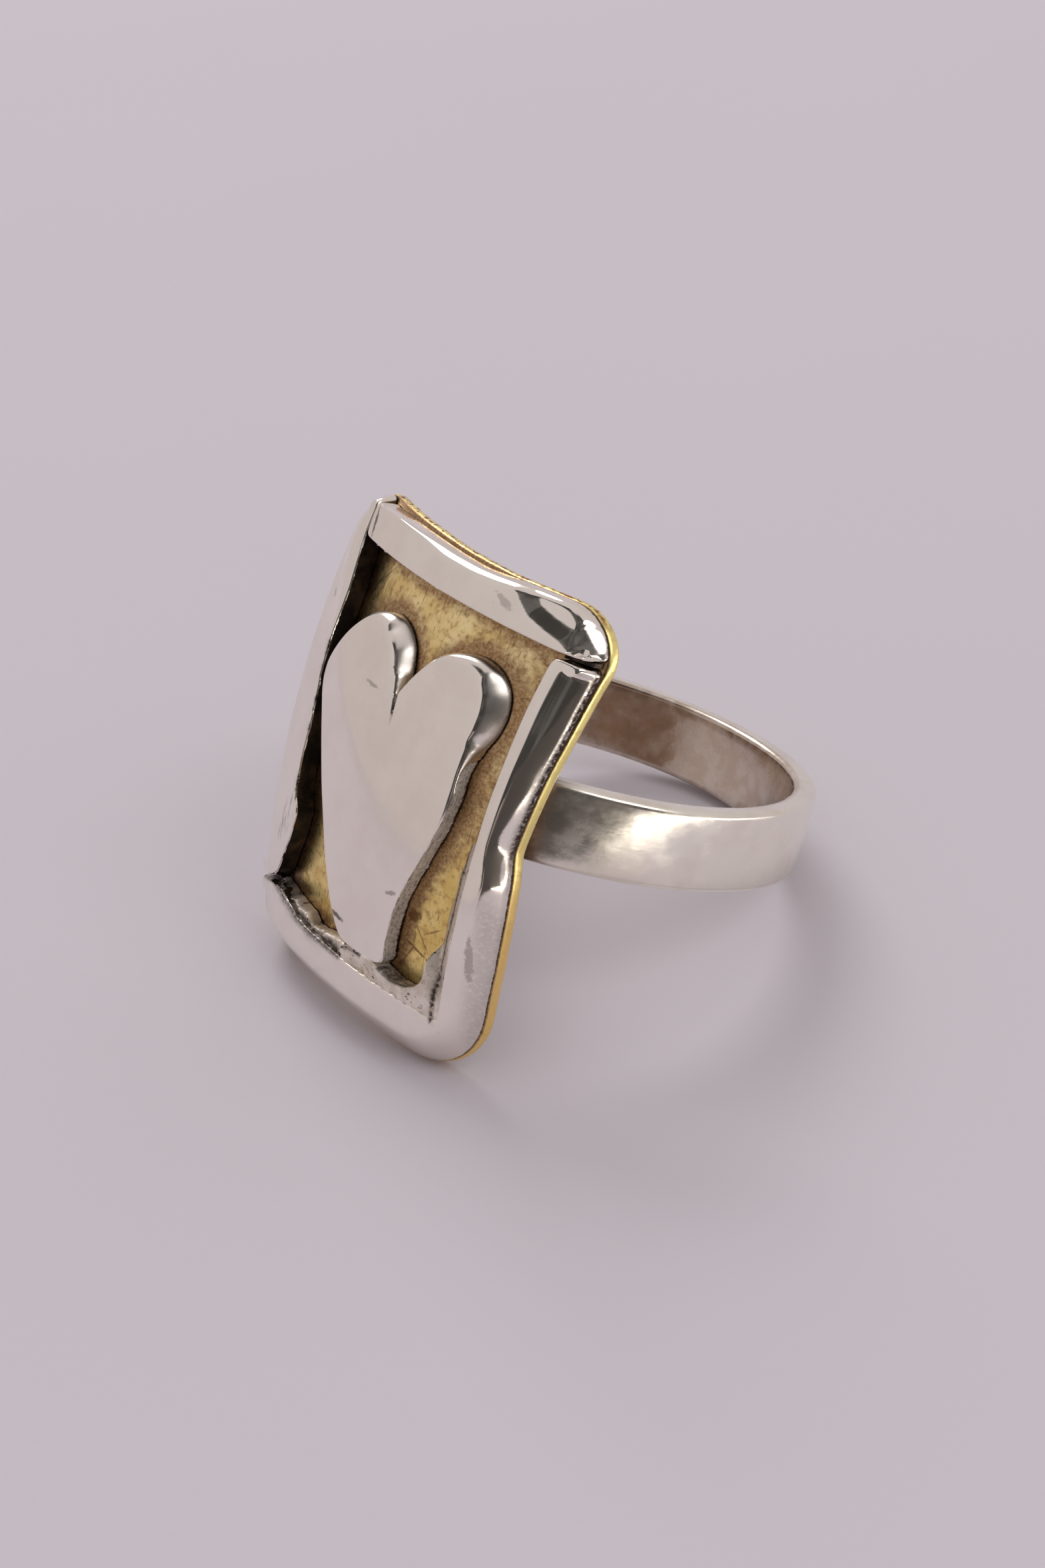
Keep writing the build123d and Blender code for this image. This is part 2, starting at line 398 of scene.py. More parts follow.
def slope_profile(t):
    """The fall of a filed slope, from 0 at its top to 1 at its foot."""
    return 0.42 * t + 0.58 * t * t


def slab(
    made, path, level, wall_kinds, top_kind, spacing,
    foot=FOOT, wall_push=always(0.0), fine=(), base_spacing=0.7,
):
    """A flat piece on the plate. The path's columns are x, y, and the width and depth of its rounded edge.

    level gives its top's height, wall_push how far its wall is pushed in and wall_kinds the wall's material.
    """
    xy, width, depth = path[:, :2], path[:, 2], path[:, 3]
    x, y = xy.T
    normal = inward(xy)
    depth = np.minimum(depth, level(x, y) - foot - LEAST_WALL)
    shoulder = level(x, y) - depth
    rows = []
    for k in range(WALL_ROWS + 1):
        share = k / WALL_ROWS
        spot = xy + normal * wall_push(x, y, share)[:, None]
        rows.append((spot, foot + (shoulder - foot) * share, wall_kinds(x, y, share)))
    sloped = step(depth, SLOPED_FROM, SLOPED_TO)
    for k in range(1, EDGE_ROWS + 1):
        share = k / EDGE_ROWS
        angle = pi / 2 * k / EDGE_ROWS
        across = (1 - cos(angle)) * (1 - sloped) + share * sloped
        down = (1 - sin(angle)) * (1 - sloped) + slope_profile(1 - share) * sloped
        spot = xy + normal * (width * across)[:, None]
        rows.append((spot, level(spot[:, 0], spot[:, 1]) - depth * down, top_kind))
    starts = [made.add_points(spot[:, 0], spot[:, 1], h) for spot, h, _ in rows]
    for k in range(1, len(rows)):
        made.band(starts[k - 1], starts[k], len(xy), rows[k][2])
    made.fill(rows[-1][0], starts[-1], spacing, level, top_kind, fine=fine)
    made.fill(rows[0][0], starts[0], base_spacing, always(foot), BASE, up=False)


# Materials

# The colour sockets of a Mix node
MIX_A, MIX_B, MIX_RESULT = 6, 7, 2


class Nodes:
    """A short way to write shader nodes."""

    def __init__(self, tree):
        self.tree = tree

    def put(self, socket, value):
        """Links another node's socket to this one, or sets it to a value."""
        if isinstance(value, bpy.types.NodeSocket):
            self.tree.links.new(value, socket)
        elif value is not None:
            socket.default_value = value

    def new(self, kind, sockets=None, **settings):
        """The outputs of a new node, with its settings made and its sockets put."""
        node = self.tree.nodes.new("ShaderNode" + kind)
        for name, value in settings.items():
            setattr(node, name, value)
        for name, value in (sockets or {}).items():
            self.put(node.inputs[name], value)
        return node.outputs

    def math(self, operation, *values):
        return self.new("Math", dict(enumerate(values)), operation=operation)[0]

    def times(self, a, b):
        return self.math("MULTIPLY", a, b)

    def largest(self, *values):
        top = values[0]
        for value in values[1:]:
            top = self.math("MAXIMUM", top, value)
        return top

    def ramp(self, value, low, high, out_low=0.0, out_high=1.0):
        """Goes smoothly from out_low at low to out_high at high."""
        sockets = {"Value": value, "From Min": low, "From Max": high, "To Min": out_low, "To Max": out_high}
        return self.new("MapRange", sockets, interpolation_type="SMOOTHSTEP")["Result"]

    def mix(self, share, a, b):
        return self.new("Mix", {"Factor": share, MIX_A: a, MIX_B: b}, data_type="RGBA")[MIX_RESULT]

    def noise(self, vector, scale, detail, rough=0.6):
        sockets = {"Vector": vector, "Scale": scale, "Detail": detail, "Roughness": rough}
        return self.new("TexNoise", sockets)["Fac"]

    def stretch(self, vector, scale, angle=0.0):
        sockets = {"Vector": vector, "Rotation": (0, 0, radians(angle)), "Scale": scale}
        return self.new("Mapping", sockets)[0]

    def bumps(self, *layers):
        """Bumps in layers, each a height, a strength and a distance in millimetres."""
        normal = None
        for height, strength, distance in layers:
            sockets = {"Height": height, "Strength": strength, "Distance": distance * MM, "Normal": normal}
            normal = self.new("Bump", sockets)[0]
        return normal

    def split(self, vector):
        return self.new("SeparateXYZ", {0: vector})

    def attribute(self, name):
        return self.new("Attribute", attribute_name=name)

    def patch(self, vector, mark, wobble):
        """As dark as a mark in its middle, fading to 0 at its ragged edge."""
        sockets = {
            "Vector": vector,
            "Location": (mark.x, mark.y, 0),
            "Rotation": (0, 0, radians(mark.angle)),
            "Scale": (mark.length, mark.width, MARK_DEPTH),
        }
        place = self.new("Mapping", sockets, vector_type="TEXTURE")[0]
        far = self.new("VectorMath", {0: place}, operation="LENGTH")["Value"]
        return self.ramp(self.math("ADD", far, wobble), 1.45, 0.75, 0.0, mark.dark)


# Stains and scratches: middle, direction, half length and half width, and how dark
Mark = namedtuple("Mark", "x y angle length width dark")
MARK_DEPTH = 100
SILVER_MARKS = (
    Mark(-5.13, 8.36, -69, 0.42, 0.075, 0.8),
    Mark(3.45, 8.22, -21, 0.40, 0.12, 0.32),
    Mark(-1.21, 3.30, -3, 0.32, 0.07, 0.4),
    Mark(2.68, -3.30, 19, 0.25, 0.08, 0.5),
    Mark(0.0, -5.46, -9, 0.32, 0.09, 0.8),
    Mark(6.53, -4.25, -84, 0.80, 0.10, 0.42),
    Mark(-5.93, 5.30, -58, 0.18, 0.07, 0.3),
)
LEFT_SCUFF = Mark(-4.72, -3.40, 62, 1.1, 0.42, 1.0)
BRASS_MARKS = (
    Mark(3.22, -3.96, 20, 0.32, 0.2, 0.85),
    Mark(3.60, -5.17, -18, 0.48, 0.05, 0.8),
    Mark(4.30, -5.42, -24, 0.32, 0.04, 0.8),
    Mark(3.72, -4.62, -48, 0.50, 0.035, 0.6),
    Mark(4.25, -4.15, 35, 0.42, 0.035, 0.55),
    Mark(3.30, -5.35, 62, 0.40, 0.04, 0.6),
    Mark(-3.95, 6.65, 48, 0.50, 0.035, 0.6),
    Mark(-4.30, 6.25, 66, 0.55, 0.04, 0.6),
)

# Colours of each metal, in pairs where it varies, and of what lies on it
POLISHED = (0.93, 0.87, 0.80, 1), (0.885, 0.82, 0.75, 1)
# The dark of stains and dirt on polished silver, also used for painted dark reflection
POLISHED_DIRT_AND_SHADE = (0.055, 0.038, 0.028, 1)

SAWN_GRAIN = (0.38, 0.34, 0.29, 1), (0.78, 0.74, 0.67, 1)
SAWN_LIGHT = (0.88, 0.84, 0.77, 1)
SAWN_GLINT = (0.95, 0.93, 0.88, 1)
SAWN_FOOT = (0.06, 0.022, 0.012, 1)

MELTED_METAL = (0.84, 0.77, 0.69, 1), (0.66, 0.58, 0.50, 1)
MELTED_BROWN = (0.40, 0.30, 0.22, 1)
MELTED_PIT = (0.10, 0.022, 0.014, 1)
MELTED_DIRT = (0.035, 0.02, 0.014, 1)

# Blacks of the joints' oxide, also used as painted shade on the strips' inner walls
OXIDE_AND_SHADE_BLACKS = (0.012, 0.009, 0.008, 1), (0.085, 0.055, 0.036, 1)

BRASS_PALE = (0.95, 0.76, 0.32, 1), (1.0, 0.82, 0.43, 1)
BRASS_DEEP = (0.79, 0.57, 0.19, 1), (0.86, 0.64, 0.26, 1)
BRASS_SPECKLE = (0.48, 0.29, 0.11, 1)
TARNISH = (0.27, 0.145, 0.06, 1), (0.44, 0.285, 0.16, 1)
# The cut edge's colour low and high; the paler high end is a painted highlight
BRASS_EDGE_AND_HIGHLIGHT = (0.94, 0.66, 0.24, 1), (1.0, 0.85, 0.34, 1)
BRASS_BLOT = (0.16, 0.075, 0.03, 1)
BRASS_SAW_MARK = (0.30, 0.10, 0.05, 1)
BRASS_BACK = (0.46, 0.37, 0.29, 1), (0.60, 0.46, 0.33, 1)

BAND_OUTER = (0.94, 0.90, 0.81, 1), (0.85, 0.79, 0.69, 1)
BAND_INNER = (0.50, 0.39, 0.31, 1), (0.64, 0.55, 0.48, 1)
# The dark of grime and painted shade where the band runs behind the plate
BAND_GRIME_AND_SHADE = (0.14, 0.085, 0.06, 1)

PAPER = (0.625, 0.595, 0.648, 1), (0.61, 0.582, 0.632, 1)


class Shader(Nodes):
    """A new material's nodes."""

    def __init__(self, name):
        self.material = bpy.data.materials.new(name)
        self.material.use_nodes = True
        super().__init__(self.material.node_tree)

    def finish(self, colour, metallic, roughness, normal=None, specular=0.5):
        """Sets the shader and gives the material."""
        values = {"Base Color": colour, "Metallic": metallic, "Roughness": roughness, "Normal": normal}
        values["Specular IOR Level"] = specular
        for name, value in values.items():
            self.put(self.tree.nodes["Principled BSDF"].inputs[name], value)
        return self.material


def marks_on(n, place, marks):
    wobble = n.ramp(n.noise(place, 5, 3), 0.3, 0.7, -0.35, 0.35)
    return n.largest(*(n.patch(place, mark, wobble) for mark in marks))


def polished_silver(name, satin_below):
    """Scratched and stained polished silver, satin below a height, also darkened as painted dark reflection
    where its piece's attribute asks for it.
    """
    n = Shader(name)
    place = n.attribute("plate")["Vector"]
    haze = n.noise(place, 0.6, 4)
    scratch = n.noise(n.stretch(place, (9, 0.7, 1), 25), 1.0, 2)
    fine = n.noise(n.stretch(place, (1.1, 14, 1), 8), 1.0, 2)
    ragged = n.noise(place, 7, 3)
    h = n.split(place)["Z"]
    foot = n.ramp(n.math("MULTIPLY_ADD", ragged, 0.14, h), 0.12, 0.18, 1.0, 0.0)
    scuff = n.times(n.patch(place, LEFT_SCUFF, 0.0), n.ramp(scratch, 0.5, 0.62))
    grime_and_shade = n.times(n.attribute("grime_and_shade")["Fac"], n.ramp(ragged, 0.3, 0.55, 0.35, 1.0))
    pits = n.ramp(n.noise(place, 11, 2, 0.5), 0.77, 0.80, 0.0, 0.4)
    # Stains, dirt and pits, with painted dark reflection where the attribute asks for it
    dirt_and_shade = n.largest(marks_on(n, place, SILVER_MARKS), foot, grime_and_shade, n.times(scuff, 0.45), pits)
    colour = n.mix(n.ramp(haze, 0.35, 0.7), *POLISHED)
    colour = n.mix(dirt_and_shade, colour, POLISHED_DIRT_AND_SHADE)
    satin = n.ramp(h, satin_below, satin_below - 0.12, 0.0, 0.20)
    smooth = n.math("ADD", n.ramp(haze, 0.3, 0.75, 0.06, 0.15), satin)
    normal = n.bumps((scratch, 0.035, 0.02), (fine, 0.03, 0.02), (scuff, 0.25, 0.03))
    return n.finish(colour, 1.0, n.math("MULTIPLY_ADD", dirt_and_shade, 0.3, smooth), normal)


def sawn_silver(name):
    """Pale grainy silver, rough from the saw, with a brown line at its foot."""
    n = Shader(name)
    place = n.attribute("plate")["Vector"]
    grain = n.noise(place, 8, 4, 0.65)
    cut = n.noise(n.stretch(place, (1.2, 1.2, 9)), 1.6, 3)
    h = n.split(place)["Z"]
    colour = n.mix(n.ramp(grain, 0.38, 0.6), *SAWN_GRAIN)
    colour = n.mix(n.ramp(cut, 0.42, 0.62, 0, 0.8), colour, SAWN_LIGHT)
    colour = n.mix(n.ramp(grain, 0.66, 0.72), colour, SAWN_GLINT)
    line = n.ramp(n.math("MULTIPLY_ADD", grain, 0.20, h), 0.14, 0.22, 1.0, 0.0)
    colour = n.mix(line, colour, SAWN_FOOT)
    return n.finish(colour, 0.45, n.ramp(grain, 0.3, 0.7, 0.5, 0.28), n.bumps((grain, 0.55, 0.05)))


def melted_silver(name):
    """Solder that ran: blotched, pitted and grimy."""
    n = Shader(name)
    place = n.attribute("plate")["Vector"]
    grain = n.noise(place, 4.5, 5, 0.65)
    blotch = n.noise(place, 1.1, 3)
    pits = n.noise(n.stretch(place, (1, 1.4, 1), 20), 3.4, 2, 0.5)
    grime_and_shade = n.times(n.attribute("grime_and_shade")["Fac"], n.ramp(grain, 0.48, 0.64, 1.0, 0.25))
    colour = n.mix(n.ramp(blotch, 0.38, 0.62), *MELTED_METAL)
    colour = n.mix(n.ramp(grain, 0.54, 0.68, 0, 0.7), colour, MELTED_BROWN)
    colour = n.mix(n.ramp(pits, 0.66, 0.70), colour, MELTED_PIT)
    colour = n.mix(grime_and_shade, colour, MELTED_DIRT)
    return n.finish(colour, 0.55, n.ramp(blotch, 0.35, 0.7, 0.32, 0.50), n.bumps((grain, 0.35, 0.05)))


def dark_oxide_and_shade(name):
    """Black oxide of the joints, also used as painted shade on the strips' inner walls at the left and top
    of the window.
    """
    n = Shader(name)
    place = n.attribute("plate")["Vector"]
    grain = n.noise(n.stretch(place, (3.0, 0.7, 1)), 1.2, 4)
    colour = n.mix(n.ramp(grain, 0.38, 0.68), *OXIDE_AND_SHADE_BLACKS)
    return n.finish(colour, 0.6, n.ramp(grain, 0.3, 0.7, 0.55, 0.32), n.bumps((grain, 0.3, 0.04)))


def brass(name):
    """Worn brass: paler at the top, brown near the silver, bright at its cut edge with a painted highlight
    paling that edge towards the top, and dull behind.
    """
    n = Shader(name)
    place = n.attribute("plate")["Vector"]
    broad = n.noise(place, 0.55, 4)
    grain = n.noise(place, 3.2, 4)
    fine = n.noise(place, 9, 3)
    scratch = n.noise(n.stretch(place, (7, 0.8, 1), -28), 1.0, 3)
    cross = n.noise(n.stretch(place, (9, 0.9, 1), 62), 1.0, 2)
    saw = n.noise(n.stretch(place, (3.4, 1, 5)), 1.0, 2)
    rim = n.attribute("rim")["Fac"]
    _, y, h = n.split(place)

    upward = n.ramp(y, -3.0, 3.0)
    pale = n.mix(upward, *BRASS_PALE)
    deep = n.mix(upward, *BRASS_DEEP)
    colour = n.mix(n.ramp(broad, 0.38, 0.62), pale, deep)
    colour = n.mix(n.ramp(grain, 0.50, 0.68, 0, 0.7), colour, BRASS_SPECKLE)

    edge = n.ramp(h, -0.06, -0.02, 1.0, 0.0)
    near = n.ramp(n.math("MULTIPLY_ADD", n.math("ADD", grain, broad), -0.8, rim), 0.06, -0.56)
    tarnish = n.mix(n.ramp(fine, 0.42, 0.58), *TARNISH)
    colour = n.mix(n.times(near, n.ramp(edge, 0.0, 1.0, 0.92, 0.0)), colour, tarnish)
    # The cut edge, paler towards the top as a painted highlight
    colour = n.mix(edge, colour, n.mix(n.ramp(y, -3.5, 1.5), *BRASS_EDGE_AND_HIGHLIGHT))

    lines = n.times(n.largest(n.ramp(scratch, 0.63, 0.67), n.ramp(cross, 0.66, 0.7)), 0.6)
    blots = n.largest(lines, marks_on(n, place, BRASS_MARKS), n.ramp(fine, 0.7, 0.74, 0, 0.6))
    colour = n.mix(n.times(blots, n.ramp(edge, 0.0, 1.0, 1.0, 0.3)), colour, BRASS_BLOT)
    top_edge = n.times(edge, n.ramp(y, 8.3, 8.9))
    colour = n.mix(n.times(top_edge, n.ramp(saw, 0.47, 0.6)), colour, BRASS_SAW_MARK)
    dull = n.mix(n.ramp(broad, 0.35, 0.6), *BRASS_BACK)
    colour = n.mix(n.ramp(h, -0.42, -0.52), colour, dull)

    normal = n.bumps((scratch, 0.2, 0.03), (cross, 0.15, 0.03), (grain, 0.25, 0.04))
    return n.finish(colour, 1.0, n.ramp(grain, 0.3, 0.7, 0.24, 0.38), normal)


def satin_silver(name):
    """Brushed silver, brown inside the band, and darker near the plate with grime and painted shade where it
    runs behind the plate.
    """
    n = Shader(name)
    place = n.attribute("band")["Vector"]
    broad = n.noise(place, 0.35, 3, 0.55)
    blotch = n.noise(place, 1.1, 4)
    brushed = n.noise(n.stretch(place, (0.5, 9, 1)), 1.0, 3)
    peel = n.noise(place, 2.2, 2, 0.5)
    share_out = n.split(place)["Z"]
    grime_and_shade = n.times(n.attribute("grime_and_shade")["Fac"], n.ramp(blotch, 0.35, 0.6, 0.75, 1.0))
    colour = n.mix(n.ramp(broad, 0.4, 0.65), *BAND_OUTER)
    worn = n.mix(n.ramp(blotch, 0.38, 0.62), *BAND_INNER)
    colour = n.mix(n.ramp(share_out, 0.35, 0.1, 0, 0.9), colour, worn)
    colour = n.mix(grime_and_shade, colour, BAND_GRIME_AND_SHADE)
    normal = n.bumps((brushed, 0.03, 0.03), (peel, 0.06, 0.1))
    return n.finish(colour, 1.0, n.ramp(blotch, 0.35, 0.7, 0.17, 0.30), normal)


def paper(name):
    """Matt pale paper with a fine grain."""
    n = Shader(name)
    place = n.new("TexCoord")["Object"]
    colour = n.mix(n.noise(place, 25, 3, 0.5), *PAPER)
    grain = n.noise(place, 2600, 3)
    return n.finish(colour, 0.0, 0.9, n.bumps((grain, 0.12, 0.06)), specular=0.1)


# The plate's outline

PLATE_CORNERS = ((6.83, -9.28, 2.88), (7.33, 8.95, 1.92), (-7.54, 9.44, 1.6), (-6.74, -8.98, 1.6))

# How far the hand-filed right and top edges stray outward, at places along them
RIGHT_STRAY = (
    (-8.0, 0.0), (-4.3, 0.10), (-2.6, 0.04), (-1.1, -0.09), (0.0, -0.34), (1.3, -0.25), (2.9, -0.14),
    (4.5, 0.04), (6.2, 0.17), (7.1, 0.24), (9.0, 0.25),
)
TOP_STRAY = (
    (-7.0, -0.10), (-4.7, -0.10), (-2.0, -0.13), (0.0, -0.17), (2.5, -0.14), (4.2, -0.04), (6.0, 0.05),
)


def plate_outline(inset=0.0):
    path = resample(fillet_path(PLATE_CORNERS), spacing=0.05)
    normal = inward(path)
    right = from_table(path[:, 1], RIGHT_STRAY) * np.clip(-normal[:, 0], 0, 1) ** 2
    top = from_table(path[:, 0], TOP_STRAY) * np.clip(-normal[:, 1], 0, 1) ** 2
    path = soften(path + np.column_stack((right, top)), width=4)
    return path + np.reshape(inset, (-1, 1)) * inward(path)


# The border's strips

# Each strip follows the plate's edge between two cuts, then comes back along its inner side. Outer rows are
# a place along its axis, the width and depth of its rounded edge, and its inset from the brass.
Strip = namedtuple("Strip", "name axis first last inner outer")
ALONG_X, ALONG_Y = 0, 1
STRIPS = (
    Strip(
        "right_and_bottom", ALONG_Y, first=(-6.80, -6.72), last=(7.5, 7.2),
        inner=(
            (6.16, 7.20), (6.0, 5.2), (5.85, 1.5), (5.8, -3.2), (5.69, -7.04), (3.5, -6.98), (0.3, -6.92),
            (-2.4, -6.80), (-4.3, -6.35), (-5.3, -6.52),
        ),
        outer=(
            (-9.3, 0.95, 0.76), (-8.0, 0.90, 0.72), (-4.0, 0.80, 0.62), (-2.4, 0.62, 0.60),
            (-1.3, 0.44, 0.60), (-0.3, 0.44, 0.60), (1.1, 0.54, 0.60), (2.2, 0.62, 0.60),
            (3.5, 0.70, 0.60), (4.7, 0.78, 0.60, 0.05), (5.5, 0.80, 0.60, 0.07), (7.3, 0.82, 0.60, 0.08),
        ),
    ),
    Strip(
        "top", ALONG_X, first=(7.52, 7.42), last=(-5.62, 9.3),
        inner=((-5.58, 8.4), (-5.42, 7.74), (0.2, 7.53), (6.1, 7.38)),
        outer=(
            (-6.0, 0.06, 0.06, 0.12), (-5.2, 0.06, 0.06, 0.28), (-4.0, 0.05, 0.05, 0.22),
            (-3.4, 0.05, 0.05, 0.18), (-1.6, 0.08, 0.08, 0.16), (-0.4, 0.36, 0.36, 0.15),
            (1.4, 0.38, 0.40, 0.15), (3.2, 0.36, 0.38, 0.05), (4.2, 0.26, 0.26, 0.04), (6.0, 0.24, 0.24),
            (6.7, 0.55, 0.62), (7.2, 0.78, 0.74),
        ),
    ),
    Strip(
        "left", ALONG_Y, first=(-5.74, 9.3), last=(-6.81, -6.38),
        inner=(
            (-5.76, -6.40), (-4.95, -5.85), (-4.2, -4.1), (-3.9, -2.9), (-4.32, -2.42), (-4.48, -0.8),
            (-4.46, 0.85), (-4.73, 2.1), (-4.88, 2.9), (-4.95, 3.8), (-4.93, 4.9), (-4.97, 5.8),
            (-5.3, 7.0), (-5.56, 7.74),
        ),
        outer=((-6.5, 0.85, 0.66), (9.0, 0.85, 0.66)),
    ),
)
USUAL_INSET = 0.03
INNER_ROUND = (0.09, 0.09)

# Where the top strip's right end was beaten down: the line it starts from, and its drop at distances past it
DENT_LINE = ((3.2, 9.5), (3.44, 8.97), (3.89, 8.51), (4.57, 8.06), (5.42, 7.83), (6.12, 7.69), (6.42, 7.53))
DENT_DROP = ((0.0, 0.0), (0.05, 0.012), (0.50, 0.19), (0.60, 0.21), (3.0, 0.21))
DENT_FOOT = 7.2
DENT_BOX = (3.1, 7.3, 7.7, 9.4, 0.10)

# Short cuts of a file into the left strip's inner edge
Nick = namedtuple("Nick", "x y size")
NICKS = (Nick(-4.76, 3.98, 0.14), Nick(-4.67, 3.14, 0.13), Nick(-4.65, 2.33, 0.15), Nick(-4.47, 1.05, 0.17))
NICK_DEPTH = 0.10

# Lines that dirt follows
MELT_EDGE = (
    (-4.9, -6.38), (-4.54, -6.42), (-3.61, -6.67), (-2.51, -6.80), (-1.79, -6.93), (-0.55, -6.85),
    (0.36, -6.87),
)
MELT_LIP = (
    (5.45, -0.20), (5.05, -1.30), (4.88, -3.20), (4.84, -4.37), (4.72, -5.42), (4.56, -5.97),
    (3.96, -6.45), (3.26, -6.52), (2.60, -6.34),
)
RIGHT_FOOT = ((5.42, 0.3), (5.34, -1.5), (5.30, -3.2), (5.29, -5.0), (5.36, -6.2), (5.44, -7.1))
TOE_CRACK = ((-0.37, -6.25), (0.45, -6.50), (0.95, -6.32), (1.6, -6.30))
NOTCH = ((-6.8, -6.55), (-6.31, -6.6), (-5.33, -6.4), (-4.9, -6.4))
FILED_EDGE = (
    (-4.93, 4.9), (-4.95, 3.8), (-4.88, 2.9), (-4.73, 2.1), (-4.46, 0.85), (-4.48, -0.8), (-4.32, -2.42),
)


def cut_between(outline, first, last):
    """The part of a closed outline that runs from near one point to near another."""
    i = int(np.argmin(np.hypot(*(outline - first).T)))
    j = int(np.argmin(np.hypot(*(outline - last).T)))
    return outline[i : j + 1] if j > i else np.vstack((outline[i:], outline[: j + 1]))


def strip_path(strip):
    """A strip's outline, melted along the bottom and nicked at the left."""
    at, width, depth, inset = np.array(completed(strip.outer, USUAL_INSET)).T
    edge = plate_outline()
    outer = cut_between(plate_outline(np.interp(edge[:, strip.axis], at, inset)), strip.first, strip.last)
    place = outer[:, strip.axis]
    outer = np.column_stack((outer, np.interp(place, at, width), np.interp(place, at, depth)))
    inner = np.array([(*spot, *INNER_ROUND) for spot in strip.inner])
    first, last = (np.array([(*outer[k, :2], *INNER_ROUND)]) for k in (0, -1))
    path = resample(np.vstack((outer, last, inner, first)), spacing=0.09)
    path[:, :2] = soften(path[:, :2], width=2.2)
    path[:, 2:] = soften(path[:, 2:], width=2.5)
    x, y = path[:, 0], path[:, 1]
    melted = (y > -7.2) & (y < -6.2) & (np.abs(x) < 5.0)
    wander = 0.06 * melted * rough(x, y, 0.45, seed=97)
    path[:, :2] += inward(path[:, :2]) * wander[:, None]
    for nick in NICKS:
        near = np.exp(-(((path[:, 0] - nick.x) ** 2 + (path[:, 1] - nick.y) ** 2) / nick.size ** 2))
        path[:, :2] += (NICK_DEPTH * near)[:, None] * inward(path[:, :2])
    return path


def border_level(x, y):
    beyond = (y > from_table(x, DENT_LINE)) & (y > DENT_FOOT)
    drop = from_table(segment_distance(x, y, DENT_LINE), DENT_DROP)
    return BORDER_TOP + 0.010 * rough(x, y, 2.5, seed=5, octaves=2) - np.where(beyond, drop, 0)


def in_window(x, y):
    """Within the frame that the strips' inner sides make."""
    return (np.abs(x - 0.3) < 5.95) & (y > -7.3) & (y < 7.9)


def on_melted(x, y):
    """On the bottom strip's inner side as far as the heart's toe."""
    return in_window(x, y) & (y < -6) & (x < 0.5)


def border_walls(x, y, share):
    window = in_window(x, y)
    # Painted shade: the strips' inner walls at the left and top of the window are made black
    shaded_side = window & ((x < -3.5) | (y > 7.0))
    rough_side = window & (x > 5) & (y > -7) & (share < 0.9)
    return np.select((shaded_side, on_melted(x, y), rough_side), (OXIDE_AND_SHADE, MELTED, SAWN), SILVER)


def border_push(x, y, share):
    melted = on_melted(x, y)
    filed = in_window(x, y) & (x < -3.5)
    lumps = 0.09 * rough(x * 3, y * 3 + 5 * share, 1.0, seed=17, octaves=2)
    return np.where(melted, lumps, 0) + np.where(filed, 0.35 * lumps, 0)


def border_grime_and_shade(x, y, h):
    """Dirt in the seams and along the melted and filed edges, painted dark reflection low on the right
    strip's outer wall, and a slightly darker lower rounding on the right strip.
    """
    melted = 0.85 * beside(x, y, MELT_EDGE, 0.05, 0.30) * (x < 0.6)
    notch = beside(x, y, NOTCH, 0.05, 0.22)
    filed = beside(x, y, FILED_EDGE, 0.02, 0.11) * step(rough(x, y, 0.35, seed=91, octaves=2), -0.2, 0.5)
    # Painted dark reflection: the right strip's outer wall is darkened below its rounded edge
    wall = step(y, -2.2, 0.4) * (1 - step(y, 7.3, 7.7)) * (x > 6.2) * (1 - step(h, 0.20, 0.42))
    lip = 0.8 * beside(x, y, MELT_LIP, 0.03, 0.11)
    crack = beside(x, y, TOE_CRACK, 0.03, 0.09)
    foot = beside(x, y, RIGHT_FOOT, 0.05, 0.12) * (h < 0.9)
    low_round = step(x, 6.25, 6.8) * (1 - step(y, -2.6, -1.2))
    low_round = 0.24 * low_round * (1 - step(h, BORDER_TOP - 0.12, BORDER_TOP - 0.02))
    return np.max((melted, notch, filed, wall, lip, crack, foot, low_round), axis=0)


def make_border(materials):
    made = Builder()
    for strip in STRIPS:
        fine = (DENT_BOX,) if strip.name == "top" else ()
        path = strip_path(strip)
        slab(made, path, border_level, border_walls, SILVER, spacing=0.22, wall_push=border_push, fine=fine)
    make_melt(made)
    make_seams(made)
    return made.object("border_strips", materials, "grime_and_shade", border_grime_and_shade)


# The solder and the joints

# Solder that ran into the window's lower right corner, anticlockwise from the heart's toe: rows of x, y, and
# the width and depth of its rounded edge
MELT = completed((
    (0.42, -6.95), (1.81, -7.16), (3.29, -7.18), (4.39, -7.25), (5.10, -7.42), (5.60, -7.50),
    (5.88, -7.20), (5.95, -5.69), (5.98, -4.20), (6.00, -2.20, 0.10, 0.08), (6.00, -0.40, 0.06, 0.06),
    (5.45, -0.20, 0.06, 0.06), (5.05, -1.30, 0.12, 0.12), (4.88, -3.20, 0.15, 0.16),
    (4.84, -4.37, 0.18, 0.20), (4.72, -5.42, 0.20, 0.24), (4.56, -5.97, 0.20, 0.25),
    (3.96, -6.45, 0.14, 0.25), (3.26, -6.52, 0.12, 0.25), (2.60, -6.34, 0.10, 0.22),
    (1.90, -6.22, 0.10, 0.16), (0.95, -6.22, 0.10, 0.14), (0.45, -6.42, 0.10, 0.14),
), 0.10, 0.10)

